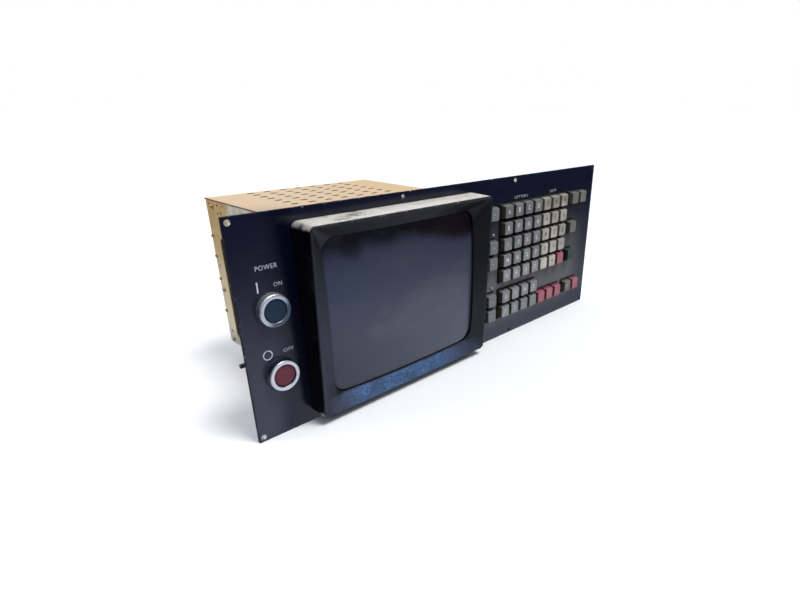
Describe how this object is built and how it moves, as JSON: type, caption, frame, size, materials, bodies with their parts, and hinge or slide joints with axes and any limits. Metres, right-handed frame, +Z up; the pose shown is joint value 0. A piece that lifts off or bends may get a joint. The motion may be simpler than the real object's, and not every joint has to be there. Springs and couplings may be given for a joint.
{
  "type": "industrial operator panel",
  "caption": "Flush-mounting operator panel: dark plate with a picture tube behind a raised bezel, on and off push buttons, a block of square keys and a vented sheet-metal chassis behind.",
  "frame": {"origin": "on the rear (mounting) face of the front plate, midway along the bottom row of mounting holes", "axes": "+X to the right as the user sees it, +Y from the front plate back into the cabinet, +Z up"},
  "size_m": [0.52, 0.2168, 0.195],
  "materials": {
    "navy_paint": "dark navy paint with a soft satin sheen",
    "bezel_plastic": "charcoal moulded plastic, fine texture, dusty on top",
    "tube_glass": "dark blue-grey screen glass",
    "band_steel": "plain plated steel",
    "copper_coil": "enamelled winding on a moulded former",
    "board_green": "green solder mask",
    "chromate_steel": "yellow passivated sheet steel",
    "cover_cream": "cream painted sheet steel",
    "black_plastic": "black moulded plastic",
    "connector_ivory": "ivory moulded plastic",
    "chrome": "bright chromed collar",
    "cap_teal": "dark teal button cap",
    "cap_red": "dark red button cap",
    "key_grey": "mid grey keycap plastic",
    "key_warm": "warm grey keycap plastic",
    "key_pale": "bluish grey keycap plastic",
    "key_red": "dusky red keycap plastic",
    "key_green": "dark green keycap plastic",
    "led_lens": "milky indicator lens, unlit"
  },
  "bodies": {
    "panel": {"front_panel": "navy_paint", "crt_bezel": "bezel_plastic", "picture_tube": "tube_glass", "tube_rim_band": "band_steel", "deflection_yoke": "copper_coil", "neck_board": "board_green", "chassis_left_plate": "chromate_steel", "chassis_right_plate": "chromate_steel", "chassis_top_cover": "cover_cream", "chassis_bottom_plate": "chromate_steel", "chassis_rear_plate": "chromate_steel", "deflection_board": "board_green", "flyback_transformer": "black_plastic", "signal_connector": "connector_ivory", "on_button_ring": "chrome", "on_button_locknut": "band_steel", "on_contact_block": "connector_ivory", "off_button_ring": "chrome", "off_button_locknut": "band_steel", "off_contact_block": "connector_ivory", "switch_deck": "black_plastic", "keyboard_board": "board_green", "keyboard_connector": "connector_ivory", "led_upper": "led_lens", "led_lower": "led_lens"},
    "on_cap": {"on_button_cap": "cap_teal"},
    "off_cap": {"off_button_cap": "cap_red"},
    "number_r1c5": {"key_number_r1c5": "key_warm"},
    "number_r1c6": {"key_number_r1c6": "key_warm"},
    "number_r1c7": {"key_number_r1c7": "key_warm"},
    "number_r2c5": {"key_number_r2c5": "key_warm"},
    "number_r2c6": {"key_number_r2c6": "key_warm"},
    "number_r2c7": {"key_number_r2c7": "key_warm"},
    "number_r3c5": {"key_number_r3c5": "key_warm"},
    "number_r3c6": {"key_number_r3c6": "key_warm"},
    "number_r3c7": {"key_number_r3c7": "key_warm"},
    "number_r4c5": {"key_number_r4c5": "key_warm"},
    "number_r4c6": {"key_number_r4c6": "key_warm"},
    "number_r4c7": {"key_number_r4c7": "key_warm"},
    "number_r5c5": {"key_number_r5c5": "key_warm"},
    "number_r5c6": {"key_number_r5c6": "key_warm"},
    "number_r5c7": {"key_number_r5c7": "key_red"},
    "side_r1c8": {"key_side_r1c8": "key_grey"},
    "side_r1c9": {"key_side_r1c9": "key_grey"},
    "side_r3c8": {"key_side_r3c8": "key_grey"},
    "side_r5c8": {"key_side_r5c8": "key_green"},
    "function_r7c5": {"key_function_r7c5": "key_red"},
    "function_r7c6": {"key_function_r7c6": "key_red"},
    "function_r7c7": {"key_function_r7c7": "key_red"},
    "function_r7c8": {"key_function_r7c8": "key_grey"},
    "function_r7c9": {"key_function_r7c9": "key_red"},
    "reset": {"key_reset": "key_pale"},
    "bank_page": {"key_bank_page": "key_pale"},
    "bank_mode": {"key_bank_mode": "key_pale"},
    "bank_letters_1": {"key_bank_letters_1": "key_grey"},
    "bank_letters_2": {"key_bank_letters_2": "key_grey"},
    "bank_letters_3": {"key_bank_letters_3": "key_grey"},
    "bank_letters_4": {"key_bank_letters_4": "key_grey"},
    "bank_edit_1": {"key_bank_edit_1": "key_grey"},
    "bank_edit_2": {"key_bank_edit_2": "key_grey"}
  },
  "joints": [
    {"name": "on_button_press", "type": "slide", "parent": "panel", "child": "on_cap", "axis": [0, 1, 0], "range_m": [0, 0.0045], "stiffness_N_per_m": 900},
    {"name": "off_button_press", "type": "slide", "parent": "panel", "child": "off_cap", "axis": [0, 1, 0], "range_m": [0, 0.0045], "stiffness_N_per_m": 900},
    {"name": "number_r1c5_press", "type": "slide", "parent": "panel", "child": "number_r1c5", "axis": [0, 1, 0], "range_m": [0, 0.003], "stiffness_N_per_m": 180},
    {"name": "number_r1c6_press", "type": "slide", "parent": "panel", "child": "number_r1c6", "axis": [0, 1, 0], "range_m": [0, 0.003], "stiffness_N_per_m": 180},
    {"name": "number_r1c7_press", "type": "slide", "parent": "panel", "child": "number_r1c7", "axis": [0, 1, 0], "range_m": [0, 0.003], "stiffness_N_per_m": 180},
    {"name": "number_r2c5_press", "type": "slide", "parent": "panel", "child": "number_r2c5", "axis": [0, 1, 0], "range_m": [0, 0.003], "stiffness_N_per_m": 180},
    {"name": "number_r2c6_press", "type": "slide", "parent": "panel", "child": "number_r2c6", "axis": [0, 1, 0], "range_m": [0, 0.003], "stiffness_N_per_m": 180},
    {"name": "number_r2c7_press", "type": "slide", "parent": "panel", "child": "number_r2c7", "axis": [0, 1, 0], "range_m": [0, 0.003], "stiffness_N_per_m": 180},
    {"name": "number_r3c5_press", "type": "slide", "parent": "panel", "child": "number_r3c5", "axis": [0, 1, 0], "range_m": [0, 0.003], "stiffness_N_per_m": 180},
    {"name": "number_r3c6_press", "type": "slide", "parent": "panel", "child": "number_r3c6", "axis": [0, 1, 0], "range_m": [0, 0.003], "stiffness_N_per_m": 180},
    {"name": "number_r3c7_press", "type": "slide", "parent": "panel", "child": "number_r3c7", "axis": [0, 1, 0], "range_m": [0, 0.003], "stiffness_N_per_m": 180},
    {"name": "number_r4c5_press", "type": "slide", "parent": "panel", "child": "number_r4c5", "axis": [0, 1, 0], "range_m": [0, 0.003], "stiffness_N_per_m": 180},
    {"name": "number_r4c6_press", "type": "slide", "parent": "panel", "child": "number_r4c6", "axis": [0, 1, 0], "range_m": [0, 0.003], "stiffness_N_per_m": 180},
    {"name": "number_r4c7_press", "type": "slide", "parent": "panel", "child": "number_r4c7", "axis": [0, 1, 0], "range_m": [0, 0.003], "stiffness_N_per_m": 180},
    {"name": "number_r5c5_press", "type": "slide", "parent": "panel", "child": "number_r5c5", "axis": [0, 1, 0], "range_m": [0, 0.003], "stiffness_N_per_m": 180},
    {"name": "number_r5c6_press", "type": "slide", "parent": "panel", "child": "number_r5c6", "axis": [0, 1, 0], "range_m": [0, 0.003], "stiffness_N_per_m": 180},
    {"name": "number_r5c7_press", "type": "slide", "parent": "panel", "child": "number_r5c7", "axis": [0, 1, 0], "range_m": [0, 0.003], "stiffness_N_per_m": 180},
    {"name": "side_r1c8_press", "type": "slide", "parent": "panel", "child": "side_r1c8", "axis": [0, 1, 0], "range_m": [0, 0.003], "stiffness_N_per_m": 180},
    {"name": "side_r1c9_press", "type": "slide", "parent": "panel", "child": "side_r1c9", "axis": [0, 1, 0], "range_m": [0, 0.003], "stiffness_N_per_m": 180},
    {"name": "side_r3c8_press", "type": "slide", "parent": "panel", "child": "side_r3c8", "axis": [0, 1, 0], "range_m": [0, 0.003], "stiffness_N_per_m": 180},
    {"name": "side_r5c8_press", "type": "slide", "parent": "panel", "child": "side_r5c8", "axis": [0, 1, 0], "range_m": [0, 0.003], "stiffness_N_per_m": 180},
    {"name": "function_r7c5_press", "type": "slide", "parent": "panel", "child": "function_r7c5", "axis": [0, 1, 0], "range_m": [0, 0.003], "stiffness_N_per_m": 180},
    {"name": "function_r7c6_press", "type": "slide", "parent": "panel", "child": "function_r7c6", "axis": [0, 1, 0], "range_m": [0, 0.003], "stiffness_N_per_m": 180},
    {"name": "function_r7c7_press", "type": "slide", "parent": "panel", "child": "function_r7c7", "axis": [0, 1, 0], "range_m": [0, 0.003], "stiffness_N_per_m": 180},
    {"name": "function_r7c8_press", "type": "slide", "parent": "panel", "child": "function_r7c8", "axis": [0, 1, 0], "range_m": [0, 0.003], "stiffness_N_per_m": 180},
    {"name": "function_r7c9_press", "type": "slide", "parent": "panel", "child": "function_r7c9", "axis": [0, 1, 0], "range_m": [0, 0.003], "stiffness_N_per_m": 180},
    {"name": "reset_press", "type": "slide", "parent": "panel", "child": "reset", "axis": [0, 1, 0], "range_m": [0, 0.003], "stiffness_N_per_m": 180},
    {"name": "bank_page_press", "type": "slide", "parent": "panel", "child": "bank_page", "axis": [0, 1, 0], "range_m": [0, 0.003], "stiffness_N_per_m": 360},
    {"name": "bank_mode_press", "type": "slide", "parent": "panel", "child": "bank_mode", "axis": [0, 1, 0], "range_m": [0, 0.003], "stiffness_N_per_m": 360},
    {"name": "bank_letters_1_press", "type": "slide", "parent": "panel", "child": "bank_letters_1", "axis": [0, 1, 0], "range_m": [0, 0.003], "stiffness_N_per_m": 900},
    {"name": "bank_letters_2_press", "type": "slide", "parent": "panel", "child": "bank_letters_2", "axis": [0, 1, 0], "range_m": [0, 0.003], "stiffness_N_per_m": 900},
    {"name": "bank_letters_3_press", "type": "slide", "parent": "panel", "child": "bank_letters_3", "axis": [0, 1, 0], "range_m": [0, 0.003], "stiffness_N_per_m": 900},
    {"name": "bank_letters_4_press", "type": "slide", "parent": "panel", "child": "bank_letters_4", "axis": [0, 1, 0], "range_m": [0, 0.003], "stiffness_N_per_m": 900},
    {"name": "bank_edit_1_press", "type": "slide", "parent": "panel", "child": "bank_edit_1", "axis": [0, 1, 0], "range_m": [0, 0.003], "stiffness_N_per_m": 720},
    {"name": "bank_edit_2_press", "type": "slide", "parent": "panel", "child": "bank_edit_2", "axis": [0, 1, 0], "range_m": [0, 0.003], "stiffness_N_per_m": 720}
  ]
}
